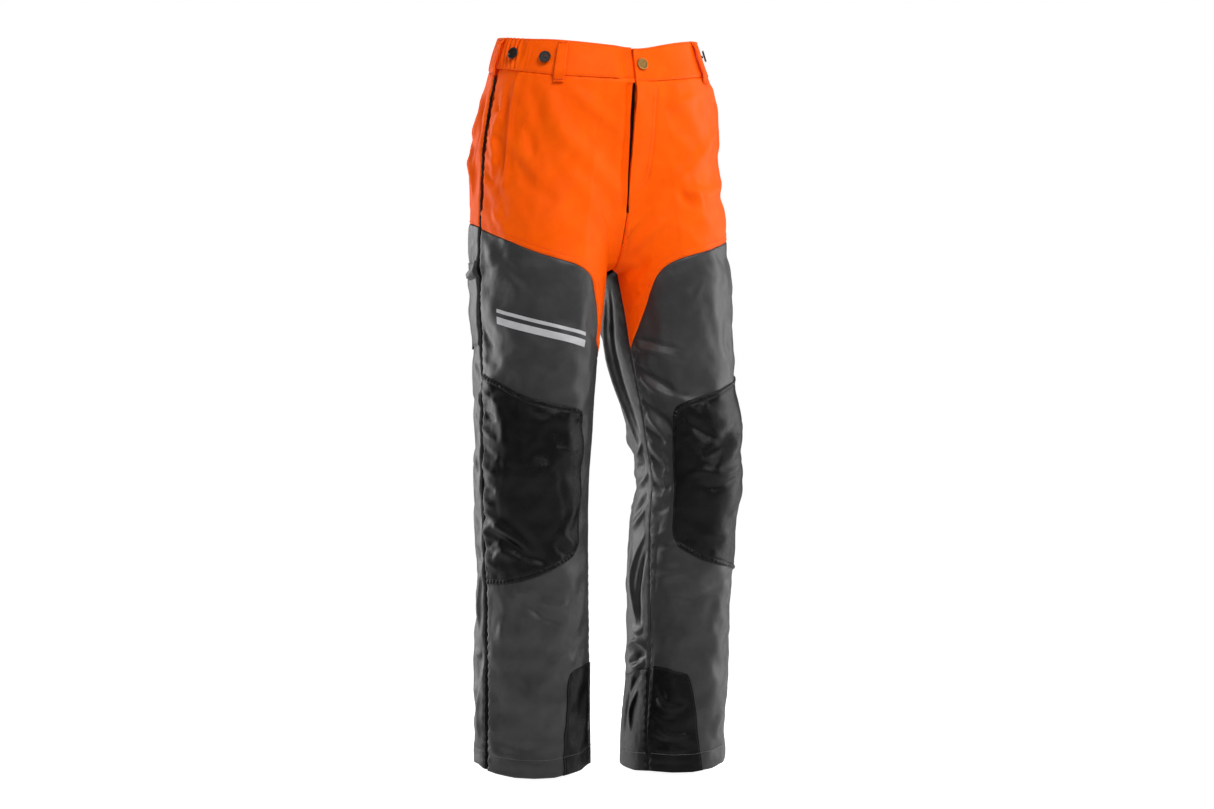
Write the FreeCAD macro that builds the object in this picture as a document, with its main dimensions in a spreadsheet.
import FreeCAD, Part
import Sketcher
import math
import os

# Protective forestry trousers in their worn shape, millimetres.
# +Z is up, the front faces -Y, the wearer's right side is -X.
# The hem plane is z = 0 and the origin is the middle of the garment's box at that height.
# A point of the cloth is named by its side, an angle about that leg's centre line
# (0 front, 90 outer side, 180 back, -90 or 270 inner side) and its height. Most points
# are pairs (angle, height). A lift is a distance from the worn surface, outwards positive.

os.makedirs("parts", exist_ok=True)
doc = FreeCAD.newDocument("forestry_trousers")
sheet = doc.addObject("Spreadsheet::Sheet", "dims")
V = FreeCAD.Vector

RIGHT, LEFT = 0, 1
SIDE_NAMES = ("right", "left")
LETTERS = "abcdefghijklmnopqrstuvwxyz"

# ---- driving dimensions: alias, value, note --------------------------------------------
DIMENSIONS = [
    ("shift_across", -3.03, "box middle to waist centre, across"),
    ("shift_depth", 11.02, "box middle to waist centre, front to back"),
    ("cloth_thickness", 0.8, "outer cloth"),
    ("seam_gap", 0.8, "half clearance at a middle seam"),
    ("patch_lift", 0.7, "patch underside above the cloth"),
    ("patch_thickness", 0.8, ""),
    ("layer_thickness", 1.0, "one layer of cut-stopping fibre"),
    ("layer_pitch", 1.7, ""),
    ("layer_start", 2.9, "depth of first fibre layer in the legs"),
    ("layer_start_hip", 6.0, "depth of first fibre layer behind the pockets"),
    ("lining_thickness", 0.6, ""),
    ("hem_height", 32.0, ""),
    ("band_thickness", 2.4, "waistband"),
    ("loop_width", 14.0, ""),
    ("loop_thickness", 1.2, ""),
    ("loop_stand", 3.4, "belt space under a loop"),
    ("loop_below_band", 10.0, ""),
    ("button_radius", 8.5, "brass waist button"),
    ("button_height", 3.0, ""),
    ("button_dish", 0.9, ""),
    ("button_rim", 1.6, ""),
    ("post_radius", 3.0, ""),
    ("post_length", 5.4, ""),
    ("tack_radius", 1.2, ""),
    ("tack_clearance", 0.06, ""),
    ("tack_length", 9.4, ""),
    ("tack_head_radius", 5.0, ""),
    ("tack_head_height", 1.0, ""),
    ("buttonhole_length", 13.0, ""),
    ("brace_button_radius", 8.6, ""),
    ("brace_button_height", 2.6, ""),
    ("brace_button_rim", 1.5, ""),
    ("brace_button_dish", 1.0, ""),
    ("thread_hole_radius", 1.0, ""),
    ("thread_hole_circle", 2.6, "button middle to hole middle"),
    ("thread_stem_radius", 2.0, ""),
    ("thread_stem_length", 2.6, ""),
    ("zip_top", 984.0, ""),
    ("zip_bottom", 838.0, ""),
    ("zip_across", 12.0, ""),
    ("zip_depth", 10.0, ""),
    ("tooth_width", 2.6, ""),
    ("tooth_depth", 2.4, ""),
    ("tooth_rise", 1.3, ""),
    ("tooth_pitch", 2.9, ""),
    ("tooth_part", 1.5, "space between the two rows"),
    ("tape_width", 13.0, ""),
    ("tape_thickness", 0.6, ""),
    ("slider_width", 9.4, ""),
    ("slider_length", 10.0, ""),
    ("slider_depth", 5.4, ""),
    ("slider_web", 0.8, ""),
    ("slider_slot", 1.6, ""),
    ("bail_width", 2.6, ""),
    ("bail_depth", 2.4, ""),
    ("bail_length", 5.0, ""),
    ("pull_width", 7.0, ""),
    ("pull_length", 19.0, ""),
    ("pull_thickness", 1.1, ""),
    ("pull_pin_radius", 0.55, ""),
    ("flap_height", 52.0, "back pocket flap"),
    ("flap_level", 940.0, "back pocket flap seam"),
    ("pocket_inner", 36.0, "back pocket edge nearer the middle plane"),
    ("pocket_outer", 150.0, "back pocket edge farther from the middle plane"),
    ("pocket_bottom", 806.0, ""),
]

# Stations of the worn body. The leg rows run over leg_level (the girths and half widths over
# its first ten, the upper axes over the rest), the hip rows over hip_level.
STATIONS = {
    "leg_level": [0, 60, 130, 200, 280, 360, 430, 500, 560, 620, 680, 740, 800, 860, 920, 980,
                  1060],
    "leg_centre": [113.5, 114.5, 117.2, 118.2, 118.5, 122.5, 126.0, 121.0, 114.2, 108.0, 104.0,
                   99.0, 93, 86, 78, 68, 55],
    "leg_forward": [-5, -7.2, -11.2, -14.5, -17.7, -22.0, -31.0, -26.0, -13.5, -4.5, -1.0, 5,
                    12, 17, 18, 12, 8],
    "leg_girth": [512, 510, 508, 508, 512, 520, 522, 545, 585, 628],
    "half_width_right": [83, 83, 82.3, 81.5, 79.6, 81, 82, 84, 86.5, 91.0],
    "half_width_left": [75.3, 76, 74.5, 74.8, 76, 77, 76, 82.0, 88.5, 95],
    "upper_axis_across": [92, 94, 95, 94, 90, 82, 70],
    "upper_axis_depth": [114, 117, 118, 115, 110, 100, 85],
    "hip_level": [700, 716, 730, 744, 760, 780, 800, 830, 860, 900, 940, 970, 1000, 1030, 1060],
    "hip_front": [20, 4, -44, -59, -68, -77, -83, -87, -91, -98, -105, -109, -108, -101, -97],
    "hip_back": [24, 40, 60, 84, 106, 124, 134, 142, 145, 144, 138, 133, 127, 120, 115],
    "hip_width_right": [150, 170, 174, 175.3, 172.1, 170.4, 171.9, 175.6, 181.1, 183.2, 179.7,
                        175, 169.5, 161.3, 152],
    "hip_width_left": [150, 172, 177, 179.6, 183.4, 188.7, 188.3, 193.6, 194.6, 193.2, 190.6,
                       185.6, 175.8, 162.8, 152],
}

station_cells = [("%s_%s" % (name, letter), value, "")
                 for name, values in STATIONS.items() for letter, value in zip(LETTERS, values)]
for row, (alias, value, note) in enumerate(DIMENSIONS + station_cells, 1):
    sheet.set("A%d" % row, note or alias.replace("_", " "))
    sheet.set("B%d" % row, repr(float(value)))
    sheet.setAlias("B%d" % row, alias)
doc.recompute()


def get(alias):
    return float(sheet.get(alias))


def stations(name):
    return [get("%s_%s" % (name, letter)) for letter, _ in zip(LETTERS, STATIONS[name])]


CLOTH = get("cloth_thickness")
SEAM_GAP = get("seam_gap")
PATCH_LIFT = get("patch_lift")
PATCH = get("patch_thickness")
BAND = get("band_thickness")
SHIFT_ACROSS = get("shift_across")
SHIFT_DEPTH = get("shift_depth")

SIDE_TURN = 0.6       # degrees between the side seam and a cloth edge
INSEAM_TURN = 0.5     # degrees between the inseam and a cloth edge
BAND_CLEARANCE = 1.0  # top edge of a cloth below the waistband


# ---- functions of one variable ---------------------------------------------------------
def spline(xs, ys):
    """smooth curve through the stations, held level beyond both ends"""
    n = len(xs)
    gap = [xs[i + 1] - xs[i] for i in range(n - 1)]
    rise = [(ys[i + 1] - ys[i]) / gap[i] for i in range(n - 1)]
    inside = [(rise[i - 1] * gap[i] + rise[i] * gap[i - 1]) / (gap[i - 1] + gap[i])
              for i in range(1, n - 1)]
    slope = [rise[0]] + inside + [rise[-1]]

    def value_at(x):
        x = min(max(x, xs[0]), xs[-1])
        i = 0
        while i < n - 2 and x >= xs[i + 1]:
            i += 1
        t = (x - xs[i]) / gap[i]
        return ((2 * t ** 3 - 3 * t ** 2 + 1) * ys[i]
                + (t ** 3 - 2 * t ** 2 + t) * gap[i] * slope[i]
                + (-2 * t ** 3 + 3 * t ** 2) * ys[i + 1]
                + (t ** 3 - t ** 2) * gap[i] * slope[i + 1])
    return value_at


def linear(points):
    """piecewise linear function of the first coordinate"""
    pts = sorted(points)

    def value_at(x):
        if x <= pts[0][0]:
            return pts[0][1]
        for a, b in zip(pts, pts[1:]):
            if x <= b[0]:
                return a[1] + (b[1] - a[1]) * (x - a[0]) / (b[0] - a[0])
        return pts[-1][1]
    return value_at


def const(value):
    return lambda _x: value


def shifted(function, by):
    return lambda x: function(x) + by


def smooth(x, start, end):
    """eased step from 0 at start to 1 at end"""
    t = min(max((x - start) / (end - start), 0.0), 1.0)
    return t * t * (3 - 2 * t)


# ---- the worn surface ------------------------------------------------------------------
leg_level = stations("leg_level")
leg_centre = spline(leg_level, stations("leg_centre"))
leg_forward = spline(leg_level, stations("leg_forward"))

# A leg section is an ellipse. Its axes follow from its girth and from its half width
# when it is turned by this angle.
TURN_SIN2 = math.sin(math.radians(27.0)) ** 2
TURN_COS2 = 1.0 - TURN_SIN2


def leg_axes(side):
    """half axes across and in depth, as functions of the height"""
    across, depth = [], []
    for half_width, girth in zip(stations("half_width_" + SIDE_NAMES[side]),
                                 stations("leg_girth")):
        axes_squared = 2.0 * (girth / 2.0 / math.pi) ** 2
        across_squared = ((half_width * half_width - axes_squared * TURN_SIN2)
                          / (TURN_COS2 - TURN_SIN2))
        across.append(math.sqrt(across_squared))
        depth.append(math.sqrt(axes_squared - across_squared))
    return (spline(leg_level, across + stations("upper_axis_across")),
            spline(leg_level, depth + stations("upper_axis_depth")))


axes = [leg_axes(side) for side in (RIGHT, LEFT)]
hip_level = stations("hip_level")
hip_front = spline(hip_level, stations("hip_front"))
hip_back = spline(hip_level, stations("hip_back"))
hip_width = [spline(hip_level, stations("hip_width_" + name)) for name in SIDE_NAMES]

LEG_HIP_BLEND = 24.0  # width of the rounding where legs and hip meet
HIP_FADE = 60.0       # how far the hip is pushed out of play at its lowest station


def smooth_min(a, b, width):
    w = min(max(0.5 + 0.5 * (b - a) / width, 0.0), 1.0)
    return b + (a - b) * w - width * w * (1.0 - w)


def section(side, z):
    """measures of the body at one height, own side's hip width first"""
    return (leg_centre(z), leg_forward(z), axes[side][0](z), axes[side][1](z),
            hip_front(z), hip_back(z), hip_width[side](z), hip_width[1 - side](z), z)


def field(sec, x, y):
    """negative inside the body, positive outside"""
    centre, forward, axis_x, axis_y, front, back, own_width, other_width, z = sec
    leg = ((math.hypot((x - centre) / axis_x, (y - forward) / axis_y) - 1.0)
           * math.sqrt(axis_x * axis_y))
    if z < hip_level[0]:
        return leg
    half = max((back - front) / 2.0, 1.0)
    width = own_width if x >= 0 else other_width
    hip = (math.hypot(x / width, (y - (front + back) / 2.0) / half) - 1.0) * half
    fade = (hip_level[1] - z) / (hip_level[1] - hip_level[0])
    hip += HIP_FADE * min(max(fade, 0.0), 1.0)
    return smooth_min(leg, hip, LEG_HIP_BLEND)


def on_surface(side, angle, z):
    """distance from the middle plane towards this side, and depth"""
    sec = section(side, z)
    turn = math.radians(angle)
    dx, dy = math.sin(turn), -math.cos(turn)
    low, high = 5.0, 320.0
    for _ in range(26):
        mid = (low + high) / 2.0
        if field(sec, sec[0] + mid * dx, sec[1] + mid * dy) < 0:
            low = mid
        else:
            high = mid
    return sec[0] + high * dx, sec[1] + high * dy


def across_of(side, angle, z):
    return on_surface(side, angle, z)[0]


def unit(nx, ny, nz):
    length = math.sqrt(nx * nx + ny * ny + nz * nz)
    return nx / length, ny / length, nz / length


def place(side, angle, z, lift):
    """point of the garment at a lift above the worn surface"""
    x, y = on_surface(side, angle, z)
    xa, ya = on_surface(side, angle - 1.5, z)
    xb, yb = on_surface(side, angle + 1.5, z)
    xc, yc = on_surface(side, angle, z - 3.0)
    xd, yd = on_surface(side, angle, z + 3.0)
    ux, uy = xb - xa, yb - ya
    vx, vy, vz = xd - xc, yd - yc, 6.0
    # the normal is u x v, turned to point outwards
    nx, ny, nz = unit(uy * vz, -ux * vz, ux * vy - uy * vx)
    turn = math.radians(angle)
    if nx * math.sin(turn) - ny * math.cos(turn) < 0:
        nx, ny, nz = -nx, -ny, -nz
    if z < 40.0:
        # the hems hang straight, so their cloth ends square to the floor
        nx, ny, nz = unit(nx, ny, nz * max(z - 10.0, 0.0) / 30.0)
    mirror = -1.0 if side == RIGHT else 1.0
    return V(mirror * (x + nx * lift) - SHIFT_ACROSS, y + ny * lift - SHIFT_DEPTH,
             z + nz * lift)


def normal_at(side, angle, z):
    normal = place(side, angle, z, 1.0) - place(side, angle, z, 0.0)
    normal.normalize()
    return normal


def angle_at(side, z, across, back=False):
    """angle at which the surface is this far from the middle plane, front or back"""
    low, high = (140.0, 268.0) if back else (-88.0, 40.0)
    for _ in range(30):
        mid = (low + high) / 2.0
        if (across_of(side, mid, z) < across) != back:
            low = mid
        else:
            high = mid
    return (low + high) / 2.0


def upright_at(side, across, back=False):
    """the same angle as a function of the height"""
    return lambda z: angle_at(side, z, across, back)


# ---- seam lines ------------------------------------------------------------------------
# (height, angle)
inseam = linear([
    (0, -54), (52, -56.7), (115, -60), (193, -61.5), (251, -61.6), (288, -61.5), (354, -66.5),
    (398, -72), (442, -75.5), (473, -75.5), (499, -72), (543, -67.2), (583, -65.3),
    (614, -64.7), (646, -65.5), (678, -68), (705, -69.6), (722, -70)])
# (height, angle), right then left
side_line = [
    linear([(0, 77.5), (81, 76.5), (183, 78), (291, 85.5), (421, 86), (530, 90.5), (610, 92.5),
            (674, 89), (733, 86.5), (845, 87.0), (934, 84.5), (1026, 88), (1070, 88)]),
    linear([(0, 84), (291, 87), (530, 90), (733, 88), (1070, 88)])]
# (angle, height) of the seam between grey leg front and orange upper front, right then left
YOKE_LINE = [
    [(-64.7, 590), (-50, 601), (-35.4, 622.6), (-31.6, 638.2), (-27.1, 664.2), (-23.7, 690.2),
     (-17.6, 708.3), (-12.2, 718.4), (-3.6, 727.0), (9.1, 734.3), (29, 747.3), (52.8, 764.3),
     (77.6, 778.2), (86.9, 784.0)],
    [(-64.7, 613.5), (-53.5, 643.1), (-44.7, 672), (-36.3, 701), (-30.7, 719.3),
     (-24.4, 729.8), (-17.3, 737.8), (-4.8, 745.9), (11.7, 755), (36.2, 766.8), (60, 776),
     (88, 785)]]
# (angle, height) of the front pocket opening, going up
POCKET_LINE = [
    (84.6, 808.5), (81.5, 811.5), (77.4, 813.5), (67.3, 822), (61, 842), (58.5, 867.5),
    (58, 898), (58.9, 934), (60.3, 957), (60.7, 977)]
# (angle, height) of the waistband's lower and upper edges, right then left
band_low = [
    linear([(-60, 992), (-26, 995.5), (2.6, 996), (28.5, 998), (59.8, 1006), (75.3, 1012),
            (88, 1013), (110, 1014), (150, 1012), (230, 1010)]),
    linear([(-60, 990), (-28.7, 991), (-14.7, 995), (0.9, 998.5), (34.5, 1007.6), (60, 1012),
            (88, 1014), (110, 1014), (150, 1012), (230, 1010)])]
band_high = [
    linear([(-60, 1040), (-26, 1042), (-16, 1044), (3, 1045.7), (19.7, 1048), (38, 1050.7),
            (56.9, 1052), (82.4, 1057), (110, 1061), (150, 1064), (230, 1064)]),
    linear([(-60, 1038), (-23, 1039.6), (-12.3, 1044.7), (-1.6, 1049), (14, 1054), (40, 1060),
            (67, 1064), (110, 1065), (150, 1065), (230, 1064)])]
# (angle, height) of the seat seam, right then left
seat_seam = [
    linear([(80, 784), (88.3, 784.5), (109.7, 794.6), (150, 790), (180, 776), (240, 760)]),
    linear([(80, 785), (88.3, 785.5), (109.7, 794.6), (150, 790), (180, 776), (240, 760)])]
# (height, angle) of the front edge where it passes the fork
fork_front = linear([(722, -69.0), (725, -67.5), (727.5, -65.0), (730, -62.3), (733, -59.6)])
# (angle, height) under the fork and up to the start of the back middle seam
FORK_UNDER = [
    (289.5, 725.5), (282.9, 722.2), (276.1, 718.8), (269.1, 715.4), (262.2, 713.3),
    (258.9, 712.2), (252.6, 714.4), (249.6, 715.7), (246.8, 719.8), (244.1, 724.2),
    (241.5, 728.4), (239, 732.3), (236.6, 735.8)]

front_of_inseam = shifted(inseam, INSEAM_TURN)
back_of_inseam = shifted(inseam, 360 - INSEAM_TURN)


def front_edge(side, z):
    """inner edge of the front: inseam in the leg, middle seam above the fork"""
    if z <= 722:
        return front_of_inseam(z)
    if z <= 733:
        return fork_front(z)
    if z >= 737:
        return angle_at(side, z, SEAM_GAP)
    w = (z - 733) / 4.0
    return (1 - w) * fork_front(733) + w * angle_at(side, 737, SEAM_GAP)


# ---- grids of cloth points, indexed [across][up] ---------------------------------------
def resample(points, count):
    """points spread evenly by length, one degree taken as 1.5 mm"""
    dist = [0.0]
    for a, b in zip(points, points[1:]):
        dist.append(dist[-1] + math.hypot((b[0] - a[0]) * 1.5, b[1] - a[1]))
    out = []
    j = 0
    for i in range(count):
        s = dist[-1] * i / (count - 1.0)
        while j < len(dist) - 2 and s > dist[j + 1]:
            j += 1
        w = (s - dist[j]) / (dist[j + 1] - dist[j])
        a, b = points[j], points[j + 1]
        out.append((a[0] + (b[0] - a[0]) * w, a[1] + (b[1] - a[1]) * w))
    return out


def shares(z0, z1, coarse=38.0, fine=13.5, start=615.0):
    """row places from z0 to z1 as shares, closer together above the knee"""
    z, out = z0, [z0]
    while z < z1:
        w = min(max((z - start + 60.0) / 60.0, 0.0), 1.0)
        z += coarse + (fine - coarse) * w
        out.append(z)
    k = (z1 - z0) / (out[-1] - z0)
    return [(q - z0) * k / (z1 - z0) for q in out]


def even(count):
    return [i / (count - 1.0) for i in range(count)]


def patch_grid(bottom, top, inner, outer, rows=None):
    """blend of four border lines of points"""
    rows = rows or even(len(inner))
    grid = []
    for i, u in enumerate(even(len(bottom))):
        col = []
        for j, v in enumerate(rows):
            col.append(tuple(
                (1 - v) * bottom[i][k] + v * top[i][k] + (1 - u) * inner[j][k]
                + u * outer[j][k] - (1 - u) * (1 - v) * bottom[0][k]
                - u * (1 - v) * bottom[-1][k] - (1 - u) * v * top[0][k] - u * v * top[-1][k]
                for k in (0, 1)))
        grid.append(col)
    return grid


def box_grid(low, high, start, end, columns, rows):
    """grid between two heights (functions of angle) and two angles (functions of height);
    rows is a count or a list of shares"""
    if not isinstance(rows, list):
        rows = even(rows)
    grid = []
    for u in even(columns):
        col = []
        for v in rows:
            # angle and height depend on each other: settle them from a guess at z = 500
            a = start(500) + (end(500) - start(500)) * u
            for _ in range(6):
                z = low(a) + (high(a) - low(a)) * v
                a = start(z) + (end(z) - start(z)) * u
            col.append((a, z))
        grid.append(col)
    return grid


def upright(angle, low, high, count=4):
    """one column of a grid"""
    return [(angle, low + (high - low) * v) for v in even(count)]


# ---- sheets of cloth as closed solids --------------------------------------------------
def skin(points):
    surface = Part.BSplineSurface()
    surface.interpolate(points)
    return surface


def edge_face(curve_a, curve_b):
    """face closing the gap between matching borders of two skins"""
    ea, eb = curve_a.toShape(), curve_b.toShape()
    heights = [v.Point.z for v in ea.Vertexes + eb.Vertexes]
    if max(heights) - min(heights) < 1e-6 and abs(heights[0]) < 1e-6:
        a0, a1 = ea.valueAt(ea.FirstParameter), ea.valueAt(ea.LastParameter)
        b0, b1 = eb.valueAt(eb.FirstParameter), eb.valueAt(eb.LastParameter)
        flat = Part.Face(Part.Wire([ea, Part.makeLine(a1, b1), eb, Part.makeLine(b0, a0)]))
        if flat.isValid():
            return flat
    # the strip between the two edges, whichever way round is the untwisted one
    turned = curve_b.copy()
    turned.reverse()
    strips = [Part.makeRuledSurface(ea, eb), Part.makeRuledSurface(ea, turned.toShape())]
    return min(strips, key=lambda f: f.Area)


def slab(outer_points, inner_points):
    """closed solid between two point grids"""
    a, b = skin(outer_points), skin(inner_points)
    u0, u1, v0, v1 = a.bounds()
    p0, p1, q0, q1 = b.bounds()
    borders = ((a.uIso(u0), b.uIso(p0)), (a.uIso(u1), b.uIso(p1)),
               (a.vIso(v0), b.vIso(q0)), (a.vIso(v1), b.vIso(q1)))
    faces = [a.toShape(), b.toShape()] + [edge_face(ca, cb) for ca, cb in borders]
    shell = Part.makeShell(faces)
    shell.sewShape(1e-4)
    solid = Part.makeSolid(shell)
    if solid.Volume < 0:
        solid.reverse()
    return solid


def cloth(side, grid, lift, thickness):
    """solid sheet; lift of its outer face is a number or a function of (angle, height),
    and side may be a list with one side for each column"""
    lift_at = lift if callable(lift) else (lambda a, z: lift)
    sides = side if isinstance(side, list) else [side] * len(grid)
    outer, inner = [], []
    for own_side, col in zip(sides, grid):
        outer_col, inner_col = [], []
        for a, z in col:
            top = lift_at(a, z)
            outer_point = place(own_side, a, z, top)
            inner_point = place(own_side, a, z, top - thickness)
            if z <= 1e-9:
                outer_point.z = 0.0
                inner_point.z = 0.0
            outer_col.append(outer_point)
            inner_col.append(inner_point)
        outer.append(outer_col)
        inner.append(inner_col)
    return slab(outer, inner)


nodes = []


def add(label, shapes):
    """one sub-part made of one or more closed solids"""
    obj = doc.addObject("Part::Feature", label)
    obj.Label = label
    obj.Shape = shapes[0] if len(shapes) == 1 else Part.makeCompound(shapes)
    nodes.append(obj)


# ---- fronts ----------------------------------------------------------------------------
FRONT_COLUMNS, FRONT_ROWS = 31, 33
FRONT_TOP = [992.5, 989.5]   # top of the inner edge, right and left
FLY_EDGE = [-2.0, -6.0]      # inner edge at the fly, from the middle plane


def fly_lift(x, z):
    """the left front laps over the right; x runs from the middle plane to the left"""
    edge = 1.0 - smooth(x, 4.0, 34.0)
    bulge = 3.0 * math.exp(-((z - 972.0) / 20.0) ** 2) * (1.0 - smooth(x, -6.0, 16.0))
    return edge * 2.0 * smooth(z, 798.0, 822.0) + bulge


def left_front_lift(a, z):
    return fly_lift(across_of(LEFT, a, z), z)


def right_front_lift(a, z):
    """the right front sinks where it passes under the fly"""
    x = across_of(RIGHT, a, z)
    return -2.2 * (1.0 - smooth(x, 4.0, 24.0)) * smooth(z, 796.0, 818.0)


def upper_inner_edge(side):
    """from the yoke up the inseam, round the fork and up the fly"""
    z0 = YOKE_LINE[side][0][1]
    out = []
    for i in range(31):
        z = z0 + (FRONT_TOP[side] - z0) * i / 30.0
        edge = front_edge(side, z)
        if z > 812:
            w = smooth(z, 812, 838)
            edge = (1 - w) * edge + w * angle_at(side, z, FLY_EDGE[side])
        out.append((edge, z))
    return out


def upper_front(side):
    """orange upper front; returns its lower border"""
    inner = resample(upper_inner_edge(side), FRONT_ROWS)
    yoke = resample(YOKE_LINE[side], FRONT_COLUMNS)
    yoke[0] = inner[0]
    top_of = shifted(band_low[side], -BAND_CLEARANCE)
    outer_line = [yoke[-1], (side_line[side](800) - SIDE_TURN, 800)] + POCKET_LINE
    outer_line.append((59.8, top_of(59.8)))
    outer = resample(outer_line, FRONT_ROWS)
    a0, a1 = inner[-1][0], outer[-1][0]
    angles = [a0 + (a1 - a0) * u for u in even(FRONT_COLUMNS)]
    top = [(a, top_of(a)) for a in angles]
    inner[-1] = top[0]
    outer[-1] = top[-1]
    lift = left_front_lift if side == LEFT else right_front_lift
    add("upper_front_" + SIDE_NAMES[side],
        [cloth(side, patch_grid(yoke, top, inner, outer), lift, CLOTH)])
    return yoke


def leg_front(side, yoke):
    """grey leg front from the hem to just under the yoke"""
    side_edge = shifted(side_line[side], -SIDE_TURN)
    top = [(a + 0.75, z - 1.0) for a, z in yoke]
    inner_top, outer_top = top[0][1], top[-1][1]
    rows = shares(0.0, outer_top)
    inner = [(front_of_inseam(inner_top * v), inner_top * v) for v in rows]
    outer = [(side_edge(outer_top * v), outer_top * v) for v in rows]
    top[0] = inner[-1]
    top[-1] = (side_edge(783), outer_top)
    outer[-1] = top[-1]
    a0, a1 = inner[0][0], outer[0][0]
    bottom = [(a0 + (a1 - a0) * u, 0.0) for u in even(FRONT_COLUMNS)]
    add("leg_front_" + SIDE_NAMES[side],
        [cloth(side, patch_grid(bottom, top, inner, outer, rows), 0.0, CLOTH)])


for side in (RIGHT, LEFT):
    leg_front(side, upper_front(side))


# ---- backs -----------------------------------------------------------------------------
def leg_back(side):
    """grey leg back; its top runs under the fork, up the middle seam, along the seat seam"""
    top = [(a, z - 2.5) for a, z in FORK_UNDER]
    top += [(angle_at(side, z, 6.0, True), z - 1.4) for z in (742, 750, 757)]
    seat_start = min(a for a, _ in top) - 0.3
    seat_angles = [seat_start - 7.0 * i for i in range(24)]
    top += [(a, seat_seam[side](a) - 1.2) for a in seat_angles if a > 84.0]
    grid = box_grid(low=const(0.0), high=linear(top),
                    start=shifted(side_line[side], SIDE_TURN), end=back_of_inseam,
                    columns=41, rows=shares(0.0, 770.0))
    add("leg_back_" + SIDE_NAMES[side], [cloth(side, grid, 0.0, CLOTH)])


def upper_back(side):
    """orange seat"""
    grid = box_grid(low=seat_seam[side], high=shifted(band_low[side], -BAND_CLEARANCE),
                    start=shifted(side_line[side], SIDE_TURN),
                    end=upright_at(side, SEAM_GAP, back=True), columns=21, rows=19)
    add("upper_back_" + SIDE_NAMES[side], [cloth(side, grid, 0.0, CLOTH)])


for side in (RIGHT, LEFT):
    leg_back(side)
    upper_back(side)

# ---- patches on the legs ---------------------------------------------------------------
# borders as (angle, height): top and bottom from the inner end outwards, inner going up
KNEE_BORDERS = [
    {"top": [(-23.4, 509.9), (-18.5, 521.7), (-9.6, 526.9), (10.7, 533.2), (36.9, 545.1),
             (62.2, 562.8), (86.3, 576.0)],
     "inner": [(-17, 316.5), (-23.5, 328.0), (-26.5, 360.6), (-29.3, 399.6), (-30.2, 442.8),
               (-27.3, 486), (-23.4, 509.9)],
     "bottom": [(-17, 316.5), (7, 298.7), (29.4, 284.8), (50.1, 278), (84.0, 277.3)]},
    {"top": [(-36, 514.8), (-31.4, 528), (-22.3, 535.7), (-6.8, 544.5), (8.7, 552.5),
             (40, 568.8), (65, 577), (87.5, 585)],
     "inner": [(-30, 327), (-36.2, 343.4), (-39.1, 376.4), (-41.5, 405), (-43.8, 442.4),
               (-40, 480), (-36, 514.8)],
     "bottom": [(-30, 327), (-7.8, 309.4), (8.8, 302.4), (29.6, 297.8), (60, 291),
                (85.0, 288)]}]
KNEE_SIDE_INSET = 0.9  # degrees in front of the side seam


def knee_patch(side):
    top = resample(KNEE_BORDERS[side]["top"], 15)
    bottom = resample(KNEE_BORDERS[side]["bottom"], 15)
    inner = resample(KNEE_BORDERS[side]["inner"], 13)
    z0, z1 = bottom[-1][1], top[-1][1]
    outer = [(side_line[side](z) - KNEE_SIDE_INSET, z) for _, z in upright(0.0, z0, z1, 13)]
    bottom[-1], top[-1] = outer[0], outer[-1]
    bottom[0], top[0] = inner[0], inner[-1]
    add("knee_patch_" + SIDE_NAMES[side],
        [cloth(side, patch_grid(bottom, top, inner, outer), PATCH_LIFT + PATCH, PATCH)])


# rub patches at the inner ankle, right then left
# (height, angle) of the front edge
boot_front_edge = [
    linear([(0, -8.0), (44, -9.7), (81, -11.7), (127, -13.7), (143, -16.4), (150, -21)]),
    linear([(0, 1.5), (36, -1.7), (75, -5.5), (116, -10.9), (139, -14.9), (146, -19)])]
# (angle, height) of the top edge in front of the inseam
boot_top = [
    linear([(-70, 164), (-49, 164), (-26.8, 156.5), (-16, 147)]),
    linear([(-70, 153), (-60.7, 153), (-58.3, 156), (-39.9, 154), (-21.8, 147), (-14, 143)])]
BOOT_BACK_TOP = [164, 153]   # top of the back piece at the inseam
BOOT_BACK_DROP = 12          # fall of that top towards its rear edge
BOOT_BACK_ANGLE = 238.0
BOOT_INSEAM_TURN = 0.6
BOOT_EXTRA_LIFT = 0.3


def boot_patch(side):
    """a front and a back piece joined at the inseam"""
    front = box_grid(low=const(0.0), high=boot_top[side],
                     start=shifted(inseam, BOOT_INSEAM_TURN), end=boot_front_edge[side],
                     columns=15, rows=11)
    back = box_grid(low=const(0.0),
                    high=lambda a: BOOT_BACK_TOP[side] - BOOT_BACK_DROP * smooth(a, 300, 240),
                    start=const(BOOT_BACK_ANGLE), end=shifted(inseam, 360 - BOOT_INSEAM_TURN),
                    columns=15, rows=11)
    add("boot_patch_" + SIDE_NAMES[side],
        [cloth(side, grid, PATCH_LIFT + PATCH + BOOT_EXTRA_LIFT, PATCH)
         for grid in (front, back)])


def hem_facing(side):
    """turned-up hem inside the leg, a front and a back piece"""
    bottom, top = const(0.6), const(get("hem_height"))
    front = box_grid(low=bottom, high=top, start=front_of_inseam,
                     end=shifted(side_line[side], -SIDE_TURN), columns=25, rows=4)
    back = box_grid(low=bottom, high=top, start=shifted(side_line[side], SIDE_TURN),
                    end=back_of_inseam, columns=41, rows=4)
    add("hem_facing_" + SIDE_NAMES[side],
        [cloth(side, grid, -CLOTH - 1.0, 0.6) for grid in (front, back)])


for side in (RIGHT, LEFT):
    knee_patch(side)
    boot_patch(side)
    hem_facing(side)

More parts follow.
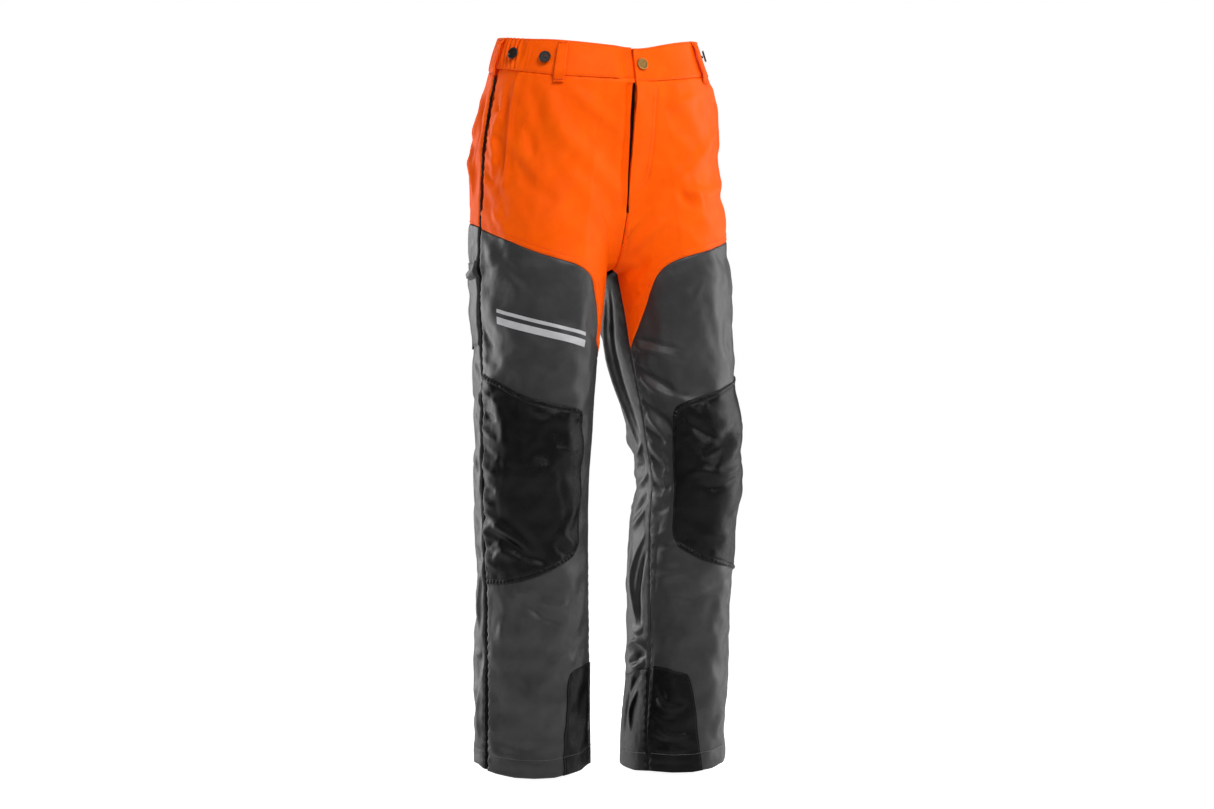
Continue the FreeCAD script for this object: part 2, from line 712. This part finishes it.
# ---- saw protection and lining ---------------------------------------------------------
LAYERS = 3
LAYER_PITCH = get("layer_pitch")
LAYER_START = get("layer_start")
LAYER_START_HIP = get("layer_start_hip")
INLAY_BOTTOM, INLAY_TOP = 52.0, 924.0
LINING_BOTTOM, LINING_TOP = 26.0, 984.0
# (height, angle) of the edges towards the inner side
inlay_inner = linear([(0, -50), (200, -55), (400, -62), (600, -58), (700, -50), (735, -36),
                      (760, -24), (800, -14), (860, -8), (930, -4)])
lining_front_inner = linear([(0, -52), (200, -58), (400, -68), (600, -60), (700, -54),
                             (735, -38), (760, -26), (800, -16), (860, -10), (985, -4)])
lining_back_inner = linear([(0, 300), (200, 296), (400, 286), (600, 286), (680, 268),
                            (710, 240), (740, 222), (800, 209), (985, 205)])


def layer_depth(z, number):
    """depth of a fibre layer's outer face; the stack moves inwards behind the pockets"""
    first = LAYER_START + (LAYER_START_HIP - LAYER_START) * smooth(z, 764.0, 806.0)
    return first + number * LAYER_PITCH


def saw_protection(side):
    """loose layers of long fibre in front of the leg, from above the hem to the hip"""
    grid = box_grid(low=const(INLAY_BOTTOM), high=const(INLAY_TOP), start=inlay_inner,
                    end=shifted(side_line[side], -2.5),
                    columns=21, rows=shares(INLAY_BOTTOM, INLAY_TOP))
    add("saw_protection_" + SIDE_NAMES[side],
        [cloth(side, grid, lambda a, z, n=n: -layer_depth(z, n), get("layer_thickness"))
         for n in range(LAYERS)])


def lining(side):
    """a front and a back panel"""
    rows = shares(LINING_BOTTOM, LINING_TOP)
    bottom, top = const(LINING_BOTTOM), const(LINING_TOP)
    front = box_grid(low=bottom, high=top, start=lining_front_inner,
                     end=shifted(side_line[side], -0.8), columns=21, rows=rows)
    back = box_grid(low=bottom, high=top, start=shifted(side_line[side], 0.8),
                    end=lining_back_inner, columns=23, rows=rows)
    add("lining_" + SIDE_NAMES[side],
        [cloth(side, grid, lambda a, z: -layer_depth(z, LAYERS) - 1.0,
               get("lining_thickness")) for grid in (front, back)])


# ---- front pockets ---------------------------------------------------------------------
def front_pocket(side):
    """a facing seen in the opening and a bag of two thin sheets behind the front"""
    grid = box_grid(low=const(803.0), high=shifted(band_low[side], -BAND_CLEARANCE),
                    start=linear([(800, 60), (830, 53), (1010, 50)]),
                    end=shifted(side_line[side], -0.8), columns=13, rows=17)
    add("front_pocket_facing_" + SIDE_NAMES[side], [cloth(side, grid, -CLOTH - 0.7, 0.7)])
    grid = box_grid(low=lambda a: 822 + 0.01 * (a - 52) ** 2, high=const(986.0),
                    start=linear([(800, 24), (1010, 16)]),
                    end=shifted(side_line[side], -3.0), columns=15, rows=15)
    add("front_pocket_bag_" + SIDE_NAMES[side],
        [cloth(side, grid, -depth, 0.4) for depth in (2.9, 4.1)])


for side in (RIGHT, LEFT):
    saw_protection(side)
    lining(side)
    front_pocket(side)

# ---- waistband -------------------------------------------------------------------------
BAND_END_LEVEL = 1018.0     # where the ends of the band are set out
BAND_SIDE_LEVEL = 1040      # where the side joins of the band are set out
BAND_BACK_LEVEL = 1035      # where the middle of its back is set out
LEFT_END_ACROSS = -6.0      # end of the left band, from the middle plane
UNDER_END_ACROSS = -27.0    # end of the right band, passing behind the left one
BUTTON_LEVEL = 1016.5
BUTTON_ACROSS = 11.5

button_angle = angle_at(LEFT, BUTTON_LEVEL, BUTTON_ACROSS)
button_axis = normal_at(LEFT, button_angle, BUTTON_LEVEL)
# frame of the button: local z outwards, local x along the band towards the wearer's left
along_band = V(1, 0, 0) - button_axis * button_axis.x
along_band.normalize()
button_place = FreeCAD.Placement(
    place(LEFT, button_angle, BUTTON_LEVEL, 0.0),
    FreeCAD.Rotation(along_band, button_axis.cross(along_band), button_axis, "ZXY"))


def band_grid(side, start, end, columns):
    angles = [start + (end - start) * u for u in even(columns)]
    return [upright(a, band_low[side](a), band_high[side](a)) for a in angles]


def left_band_lift(a, z):
    return BAND / 2 + 0.5 * (1.0 - smooth(across_of(LEFT, a, z), 0, 30))


def right_band_lift(a, z):
    """the under end passes behind the left end"""
    return BAND / 2 - 4.4 * (1.0 - smooth(across_of(RIGHT, a, z), 9.0, 30.0))


def waistband_front_left():
    """left front of the band, with the buttonhole"""
    start = angle_at(LEFT, BAND_END_LEVEL, LEFT_END_ACROSS)
    end = side_line[LEFT](BAND_SIDE_LEVEL) - SIDE_TURN
    band = cloth(LEFT, band_grid(LEFT, start, end, 31), left_band_lift, BAND)
    half_slot = 3.8
    slot = Part.makeBox(get("buttonhole_length"), 2 * half_slot, 12.0,
                        V(-half_slot, -half_slot, -6.0))
    standing = [e for e in slot.Edges
                if abs(e.Vertexes[0].Point.z - e.Vertexes[1].Point.z) > 5]
    slot = slot.makeFillet(3.7, standing)
    slot.Placement = button_place
    add("waistband_front_left", band.cut(slot).Solids)


def waistband_front_right():
    """right front of the band, with the hole for the button's tack"""
    start = angle_at(RIGHT, BAND_END_LEVEL, UNDER_END_ACROSS)
    end = side_line[RIGHT](BAND_SIDE_LEVEL) - SIDE_TURN
    band = cloth(RIGHT, band_grid(RIGHT, start, end, 35), right_band_lift, BAND)
    hole = Part.makeCylinder(get("tack_radius") + 0.6, 14.0, V(0, 0, -9.0), V(0, 0, 1))
    hole.Placement = button_place
    add("waistband_front_right", band.cut(hole).Solids)


def waistband_back():
    """back of the band from side seam to side seam, and the wide elastic inside it"""
    ends = [side_line[side](BAND_SIDE_LEVEL) + SIDE_TURN for side in (RIGHT, LEFT)]
    middles = [angle_at(side, BAND_BACK_LEVEL, 0.0, True) for side in (RIGHT, LEFT)]
    right_half = band_grid(RIGHT, ends[RIGHT], middles[RIGHT], 25)
    left_half = band_grid(LEFT, middles[LEFT], ends[LEFT], 25)[1:]
    grid = right_half + left_half
    sides = [RIGHT] * len(right_half) + [LEFT] * len(left_half)
    add("waistband_back", [cloth(sides, grid, BAND / 2, BAND)])

    elastic = []
    for side, col in list(zip(sides, grid))[3:-3]:
        angle, low = col[0]
        elastic.append(upright(angle, low + 12.0, low + 42.0))
    add("waistband_elastic", [cloth(sides[3:-3], elastic, -BAND / 2 - 0.8, 1.0)])


# (side, angle) of the belt loops
LOOP_PLACES = [
    (RIGHT, 25.0), (RIGHT, 88.0), (RIGHT, 152.0),
    (RIGHT, angle_at(RIGHT, BAND_BACK_LEVEL, 0.0, True)),
    (LEFT, 40.5), (LEFT, 89.0), (LEFT, 152.0)]


def belt_loop(side, angle):
    """flat strap held at both ends, with room for a belt behind the middle"""
    thickness, stand = get("loop_thickness"), get("loop_stand")
    x1, y1 = on_surface(side, angle - 1.0, 1030)
    x2, y2 = on_surface(side, angle + 1.0, 1030)
    mm_per_degree = math.hypot(x2 - x1, y2 - y1) / 2.0
    half_turn = get("loop_width") / 2.0 / mm_per_degree
    z0 = band_low[side](angle) - get("loop_below_band")
    z1 = band_high[side](angle) - 2.5
    grid = [upright(angle - half_turn + 2 * half_turn * u, z0, z1, 13) for u in even(4)]

    def lift(_a, z):
        w = (z - z0) / (z1 - z0)
        arch = smooth(w, 0.03, 0.26) * (1.0 - smooth(w, 0.80, 0.99))
        return BAND / 2 + 1.2 + thickness + stand * arch

    return cloth(side, grid, lift, thickness)


waistband_front_left()
waistband_front_right()
waistband_back()
add("belt_loops", [belt_loop(side, angle) for side, angle in LOOP_PLACES])


# ---- fly -------------------------------------------------------------------------------
def fly_facing():
    """facing behind the left front"""
    grid = box_grid(low=const(832.0), high=const(986.0), start=upright_at(LEFT, -4.5),
                    end=upright_at(LEFT, 34.0), columns=13, rows=25)
    add("fly_facing_left",
        [cloth(LEFT, grid, lambda a, z: left_front_lift(a, z) - CLOTH - 0.9, 0.6)])


def fly_guard():
    """guard behind the zip"""
    grid = box_grid(low=const(826.0), high=const(990.0), start=upright_at(LEFT, -12.0),
                    end=upright_at(LEFT, 36.0), columns=9, rows=13)
    add("fly_guard_right", [cloth(LEFT, grid, -17.2, 0.8)])


# ---- ruler pocket and printed bars, right thigh ----------------------------------------
def ruler_pocket():
    """pocket on the back of the thigh, with a short woven tab at its lower corner"""
    grid = box_grid(low=const(616.0), high=const(737.0), start=shifted(side_line[RIGHT], 2.6),
                    end=const(129.0), columns=33, rows=33)
    add("ruler_pocket", [cloth(RIGHT, grid, PATCH_LIFT + PATCH + 2.9, PATCH + 0.5)])
    grid = box_grid(low=const(612.0), high=const(632.0), start=const(131.0),
                    end=const(137.0), columns=4, rows=4)
    add("ruler_pocket_tab", [cloth(RIGHT, grid, PATCH_LIFT + 3.4, 3.1)])


def thigh_print_bars():
    """two plain bars on the front, rising outwards"""
    start, span, bottom, climb = -13.0, 75.0, 612.0, 0.45
    print_thickness = 0.25
    bars = []
    for low, high in ((0.0, 10.0), (16.0, 21.0)):
        grid = []
        for u in even(11):
            z = bottom + climb * span * u
            grid.append(upright(start + span * u, z + low, z + high))
        bars.append(cloth(RIGHT, grid, PATCH_LIFT + print_thickness, print_thickness))
    add("thigh_print_bars", bars)


# ---- back pocket, right seat -----------------------------------------------------------
def back_pocket():
    """pocket, hook-and-loop closure and flap, each lifted above the last"""
    flap_top = get("flap_level")
    tape_low, tape_high = flap_top - 44.0, flap_top - 28.0
    # label, low, high, inset from both pocket edges, columns, rows, lift above the pocket
    pieces = [
        ("back_pocket", get("pocket_bottom"), flap_top - 14.0, 0, 11, 11, 0.0),
        ("back_pocket_loop_tape", tape_low, tape_high, 20, 9, 4, 1.4),
        ("back_pocket_hook_tape", tape_low, tape_high, 20, 9, 4, 2.8),
        ("back_pocket_flap", flap_top - get("flap_height"), flap_top, -4, 11, 6, 4.2)]
    for label, low, high, inset, columns, rows, lift in pieces:
        grid = box_grid(low=const(low), high=const(high),
                        start=upright_at(RIGHT, get("pocket_outer") - inset, back=True),
                        end=upright_at(RIGHT, get("pocket_inner") + inset, back=True),
                        columns=columns, rows=rows)
        thickness = PATCH if label == "back_pocket" else 0.8
        add(label, [cloth(RIGHT, grid, PATCH_LIFT + PATCH + lift, thickness)])


fly_facing()
fly_guard()
ruler_pocket()
thigh_print_bars()
back_pocket()


# ---- hardware: bodies with sketches driven by the sheet --------------------------------
class Size:
    """a number together with the sheet formula that gives it"""

    def __init__(self, value, text):
        self.value, self.text = value, text

    def join(self, other, sign, value):
        other_text = other.text if isinstance(other, Size) else repr(float(other))
        return Size(value, "(%s %s %s)" % (self.text, sign, other_text))

    def __add__(self, other):
        return self.join(other, "+", self.value + plain(other))

    def __sub__(self, other):
        return self.join(other, "-", self.value - plain(other))

    def __mul__(self, other):
        return self.join(other, "*", self.value * plain(other))

    def __neg__(self):
        return Size(-self.value, "(0 - %s)" % self.text)


def plain(number):
    return number.value if isinstance(number, Size) else number


def dim(alias):
    return Size(get(alias), "dims." + alias)


def fixed(value):
    return Size(value, repr(value))


ZERO = Size(0.0, "0")


def origin_feature(body, role):
    return [f for f in body.Origin.OriginFeatures if f.Role == role][0]


def new_body(label):
    body = doc.addObject("PartDesign::Body", label)
    body.Label = label
    doc.recompute()
    return body


def new_sketch(body, name, role="XY_Plane", height=None):
    sketch = body.newObject("Sketcher::SketchObject", name)
    sketch.AttachmentSupport = (origin_feature(body, role), [""])
    sketch.MapMode = "FlatFace"
    if height is not None:
        sketch.AttachmentOffset = FreeCAD.Placement(V(0, 0, height.value), FreeCAD.Rotation())
        sketch.setExpression(".AttachmentOffset.Base.z", height.text)
    return sketch


def pin_point(sketch, geometry, point, x, y):
    """hold a point by sheet-driven distances from the origin"""
    for kind, size, axis in (("DistanceX", x, -2), ("DistanceY", y, -1)):
        if abs(size.value) < 1e-9:
            sketch.addConstraint(Sketcher.Constraint("PointOnObject", geometry, point, axis))
        else:
            c = sketch.addConstraint(
                Sketcher.Constraint(kind, -1, 1, geometry, point, size.value))
            sketch.setExpression("Constraints[%d]" % c, size.text)


def outline(sketch, points):
    """closed polygon with every corner held"""
    n = len(points)
    first = sketch.GeometryCount
    for i in range(n):
        a, b = points[i], points[(i + 1) % n]
        sketch.addGeometry(Part.LineSegment(V(a[0].value, a[1].value, 0),
                                            V(b[0].value, b[1].value, 0)), False)
    for i in range(n):
        sketch.addConstraint(
            Sketcher.Constraint("Coincident", first + i, 2, first + (i + 1) % n, 1))
    for i, (x, y) in enumerate(points):
        pin_point(sketch, first + i, 1, x, y)


def mirrored(points):
    return [(-x, y) for x, y in reversed(points)]


def circle(sketch, x, y, radius):
    i = sketch.addGeometry(
        Part.Circle(V(x.value, y.value, 0), V(0, 0, 1), radius.value), False)
    pin_point(sketch, i, 3, x, y)
    c = sketch.addConstraint(Sketcher.Constraint("Radius", i, radius.value))
    sketch.setExpression("Constraints[%d]" % c, radius.text)


def pad(body, sketch, name, length, middle=False):
    feature = body.newObject("PartDesign::Pad", name)
    feature.Profile = sketch
    feature.Length = length.value
    feature.setExpression("Length", length.text)
    feature.SideType = "Symmetric" if middle else "One side"
    doc.recompute()


def pocket(body, sketch, name, length=None, middle=False):
    """cut to a length, or through everything when none is given"""
    feature = body.newObject("PartDesign::Pocket", name)
    feature.Profile = sketch
    if length is None:
        feature.Type = "ThroughAll"
    else:
        feature.Length = length.value
        feature.setExpression("Length", length.text)
    if middle:
        feature.SideType = "Symmetric"
    return feature


def pocket_upwards(body, sketch, name, least_volume, length=None):
    """one-sided cut, reversed; the plain direction stands in if that one removes too little"""
    before = body.Shape.Volume
    feature = pocket(body, sketch, name, length)
    for flipped in (True, False):
        feature.Reversed = flipped
        doc.recompute()
        if body.Shape.Volume < before - least_volume:
            return feature
    raise RuntimeError(name + " removes nothing")


def revolve(body, sketch, name):
    feature = body.newObject("PartDesign::Revolution", name)
    feature.Profile = sketch
    feature.ReferenceAxis = (sketch, ["V_Axis"])
    feature.Angle = 360.0
    doc.recompute()


# ---- brass waist button, in the button frame -------------------------------------------
def waist_button_cap():
    """a dished cap with a hollow post, turning on the tack"""
    body = new_body("waist_button_cap")
    sketch = new_sketch(body, "cap_profile", "XZ_Plane")
    radius, post = dim("button_radius"), dim("post_radius")
    bore = dim("tack_radius") + dim("tack_clearance")
    base = fixed(2.6)
    post_end = base - dim("post_length")
    top = base + dim("button_height")
    dish_edge = radius - dim("button_rim")
    dish_floor = top - dim("button_dish")
    outline(sketch, [
        (bore, post_end), (post, post_end), (post, base), (radius - 0.6, base),
        (radius, base + 0.7), (radius, top - 0.8), (radius - 0.6, top), (dish_edge, top),
        (dish_edge - 0.7, dish_floor), (ZERO, dish_floor), (ZERO, base + 0.9),
        (bore, base + 0.9)])
    revolve(body, sketch, "cap_turned")
    body.Placement = button_place
    nodes.append(body)


def waist_button_tack():
    """a flat head and a pin"""
    body = new_body("waist_button_tack")
    sketch = new_sketch(body, "tack_profile", "XZ_Plane")
    base = fixed(-6.5)
    radius, head = dim("tack_radius"), dim("tack_head_radius")
    head_end = base - dim("tack_head_height")
    tip = base + dim("tack_length")
    outline(sketch, [
        (ZERO, head_end), (head - 0.4, head_end), (head, head_end + 0.4), (head, base),
        (radius, base), (radius, tip - 0.4), (radius - 0.4, tip), (ZERO, tip)])
    revolve(body, sketch, "tack_turned")
    body.Placement = button_place
    nodes.append(body)


waist_button_cap()
waist_button_tack()

# ---- sewn braces buttons ---------------------------------------------------------------
# (side, angle, height)
BRACES_PLACES = [(RIGHT, 38.4, 1023.0), (RIGHT, 67.8, 1030.5), (RIGHT, 192.0, 1036.0),
                 (LEFT, 65.0, 1041.0), (LEFT, 101.0, 1040.0), (LEFT, 192.0, 1036.0)]


def braces_button_master():
    """one button at the origin: four thread holes and a raised rim"""
    body = new_body("braces_button_master")
    sketch = new_sketch(body, "button_profile", "XZ_Plane")
    radius, height = dim("brace_button_radius"), dim("brace_button_height")
    dish_edge = radius - dim("brace_button_rim")
    dish_floor = height - dim("brace_button_dish")
    outline(sketch, [
        (ZERO, ZERO), (radius - 1.4, ZERO), (radius, height * 0.45), (radius, height - 0.5),
        (radius - 0.5, height), (dish_edge, height), (dish_edge - 0.8, dish_floor),
        (ZERO, dish_floor)])
    revolve(body, sketch, "button_turned")
    sketch = new_sketch(body, "thread_hole")
    circle(sketch, dim("thread_hole_circle"), ZERO, dim("thread_hole_radius"))
    hole = pocket_upwards(body, sketch, "thread_hole_cut", least_volume=1.0)
    pattern = body.newObject("PartDesign::PolarPattern", "thread_holes")
    pattern.Originals = [hole]
    pattern.Axis = (origin_feature(body, "Z_Axis"), [""])
    pattern.Angle = 360
    pattern.Occurrences = 4
    body.Tip = pattern
    doc.recompute()
    return body


def braces_buttons():
    """the buttons, each on a stem of thread"""
    master = braces_button_master()
    stem_length = get("thread_stem_length")
    stem_lift = BAND / 2 + 0.7
    buttons, stems = [], []
    for side, angle, z in BRACES_PLACES:
        outwards = FreeCAD.Rotation(V(0, 0, 1), normal_at(side, angle, z))
        button = master.Shape.copy()
        button.Placement = FreeCAD.Placement(
            place(side, angle, z, stem_lift + stem_length + 0.1), outwards)
        buttons.append(button.Solids[0])
        stem = Part.makeCylinder(get("thread_stem_radius"), stem_length - 0.6,
                                 V(0, 0, 0), V(0, 0, 1))
        stem.Placement = FreeCAD.Placement(place(side, angle, z, stem_lift), outwards)
        stems.append(stem)
    add("braces_buttons", buttons)
    add("braces_button_threads", stems)


braces_buttons()


# ---- zip fastener ----------------------------------------------------------------------
def zip_point(z):
    across = get("zip_across")
    y = on_surface(LEFT, angle_at(LEFT, z, across), z)[1]
    return V(across - SHIFT_ACROSS, y + get("zip_depth") - SHIFT_DEPTH, z)


chain_top = zip_point(get("zip_top"))
down = zip_point(get("zip_bottom")) - chain_top
chain_length = down.Length
down.normalize()
# frame of the zip: x towards the wearer's left, y up the chain, z outwards; origin at the
# top of the chain
zip_place = FreeCAD.Placement(
    chain_top, FreeCAD.Rotation(V(1, 0, 0), down * -1.0, V(0, down.z, -down.y), "ZXY"))

TOOTH_WIDTH = get("tooth_width")
TOOTH_DEPTH = get("tooth_depth")
TOOTH_PITCH = get("tooth_pitch")
HALF_PART = get("tooth_part") / 2
TEETH = int((chain_length - 14.0) / TOOTH_PITCH)


def in_zip(x, y, z):
    return zip_place.multiply(FreeCAD.Placement(V(x, y, z), FreeCAD.Rotation()))


def zip_tooth_master(name, sign):
    body = new_body("zip_tooth_" + name + "_master")
    sketch = new_sketch(body, "tooth_outline_" + name)
    half_part, width, rise = dim("tooth_part") * 0.5, dim("tooth_width"), dim("tooth_rise")
    near = half_part * sign
    nose = (half_part + width * 0.4) * sign
    far = (half_part + width) * sign
    outline(sketch, [
        (near, -(rise * 0.35)), (nose, -(rise * 0.5)), (far, -(rise * 0.4)),
        (far, rise * 0.4), (nose, rise * 0.5), (near, rise * 0.35)])
    pad(body, sketch, "tooth_pad_" + name, dim("tooth_depth"), middle=True)
    return body


def zip_teeth(name, sign, offset):
    """one row of teeth, shifted down by a share of the pitch"""
    master = zip_tooth_master(name, sign)
    teeth = []
    for i in range(TEETH):
        tooth = master.Shape.copy()
        tooth.Placement = in_zip(0, -6.0 - (i + offset) * TOOTH_PITCH, 0)
        teeth.append(tooth.Solids[0])
    add("zip_teeth_" + name, teeth)


def zip_tape(name, sign):
    near = HALF_PART + TOOTH_WIDTH + 0.15
    width, thickness = get("tape_width"), get("tape_thickness")
    tape = doc.addObject("Part::Box", "zip_tape_" + name)
    tape.Label = "zip_tape_" + name
    tape.Length = width
    tape.Width = chain_length + 6.0
    tape.Height = thickness
    tape.setExpression("Length", "dims.tape_width")
    tape.setExpression("Height", "dims.tape_thickness")
    tape.Placement = in_zip(min(sign * near, sign * (near + width)), -chain_length - 2.0,
                            -thickness / 2.0)
    nodes.append(tape)


def zip_stops():
    """a stop above each row and one across both rows at the bottom"""
    reach = HALF_PART + TOOTH_WIDTH
    back = -TOOTH_DEPTH / 2
    stops = [Part.makeBox(TOOTH_WIDTH, 3.0, TOOTH_DEPTH, V(x, 1.2, back))
             for x in (-reach, HALF_PART)]
    stops.append(Part.makeBox(2 * reach, 3.4, TOOTH_DEPTH,
                              V(-reach, -chain_length + 0.4, back)))
    for stop in stops:
        stop.Placement = zip_place
    add("zip_stops", stops)


for name, sign, offset in (("right", -1.0, 0.0), ("left", 1.0, 0.5)):
    zip_teeth(name, sign, offset)
    zip_tape(name, sign)
zip_stops()

# places shared by the slider and its pull tab
slider_y = fixed(-7.2)
plate_face = dim("slider_depth") * 0.5
pin_y = slider_y - 0.6
pin_z = plate_face + dim("bail_depth") * 0.5


def slider_channels(body):
    """a channel for each row of teeth, open to both ends and slotted for the tape"""
    sketch = new_sketch(body, "slider_channels", "XZ_Plane")
    near = dim("slider_web") * 0.5
    far = dim("tooth_part") * 0.5 + dim("tooth_width") + 0.35
    half_channel = dim("tooth_depth") * 0.5 + 0.35
    half_slot = dim("slider_slot") * 0.5
    beyond = dim("slider_width")
    channel = [(near, -half_channel), (far, -half_channel), (far, -half_slot),
               (beyond, -half_slot), (beyond, half_slot), (far, half_slot),
               (far, half_channel), (near, half_channel)]
    outline(sketch, channel)
    outline(sketch, mirrored(channel))
    pocket(body, sketch, "slider_channel_cut", fixed(60.0), middle=True)
    doc.recompute()


def slider_bail(body):
    """bail on the front plate, with the eye that carries the pull"""
    sketch = new_sketch(body, "bail_profile", "YZ_Plane")
    half_length = dim("bail_length") * 0.5
    low_y, high_y = slider_y - half_length, slider_y + half_length
    root, top = plate_face - 0.3, plate_face + dim("bail_depth")
    outline(sketch, [(low_y, root), (high_y, root), (high_y, top - 0.6), (high_y - 0.8, top),
                     (low_y + 0.8, top), (low_y, top - 0.6)])
    pad(body, sketch, "bail_pad", dim("bail_width"), middle=True)
    sketch = new_sketch(body, "bail_eye", "YZ_Plane")
    circle(sketch, pin_y, pin_z, dim("pull_pin_radius") + 0.06)
    pocket(body, sketch, "bail_eye_cut", fixed(20.0), middle=True)
    doc.recompute()


def zip_slider():
    """two plates joined by a web that runs between the two rows of teeth"""
    body = new_body("zip_slider")
    sketch = new_sketch(body, "slider_outline")
    width, half_length = dim("slider_width"), dim("slider_length") * 0.5
    top, bottom = slider_y + half_length, slider_y - half_length
    half = [(width * 0.42, bottom), (width * 0.5, slider_y), (width * 0.5, top - 1.6),
            (width * 0.32, top)]
    outline(sketch, half + mirrored(half))
    pad(body, sketch, "slider_pad", dim("slider_depth"), middle=True)
    slider_channels(body)
    slider_bail(body)
    body.Placement = zip_place
    nodes.append(body)


def zip_pull_tab():
    """a plate with a window round the bail and a pin through the bail's eye"""
    body = new_body("zip_pull_tab")
    width, thickness = dim("pull_width"), dim("pull_thickness")
    plate_back = pin_z - thickness * 0.5
    end_y = pin_y - dim("pull_length")
    sketch = new_sketch(body, "tab_outline", height=plate_back)
    half = [(width * 0.5, pin_y + 1.4), (width * 0.5, pin_y - 5.6),
            (width * 0.40, pin_y - 7.4), (width * 0.5, end_y + 2.0), (width * 0.3, end_y)]
    outline(sketch, half + mirrored(half))
    pad(body, sketch, "tab_pad", thickness)

    sketch = new_sketch(body, "tab_window", height=plate_back - 1.0)
    window_x = dim("bail_width") * 0.5 + 0.5
    half = [(window_x, pin_y - 4.6), (window_x, pin_y + 4.0)]
    outline(sketch, half + mirrored(half))
    pocket_upwards(body, sketch, "tab_window_cut", least_volume=5.0, length=fixed(6.0))

    sketch = new_sketch(body, "tab_pin", "YZ_Plane")
    circle(sketch, pin_y, pin_z, dim("pull_pin_radius"))
    pad(body, sketch, "tab_pin_pad", width - 0.6, middle=True)
    body.Placement = zip_place
    nodes.append(body)


zip_slider()
zip_pull_tab()

# ---- check and export ------------------------------------------------------------------
doc.recompute()
bad = []
for obj in doc.Objects:
    if "Invalid" in obj.State or "Error" in obj.State:
        bad.append("%s %s" % (obj.Label, obj.State))
for obj in nodes:
    if obj.Shape.isNull() or not obj.Shape.isValid() or not obj.Shape.Solids:
        bad.append(obj.Label + " has no valid shape")
if bad:
    raise RuntimeError("; ".join(bad))
for obj in nodes:
    obj.Shape.exportStep("parts/%s.step" % obj.Label)
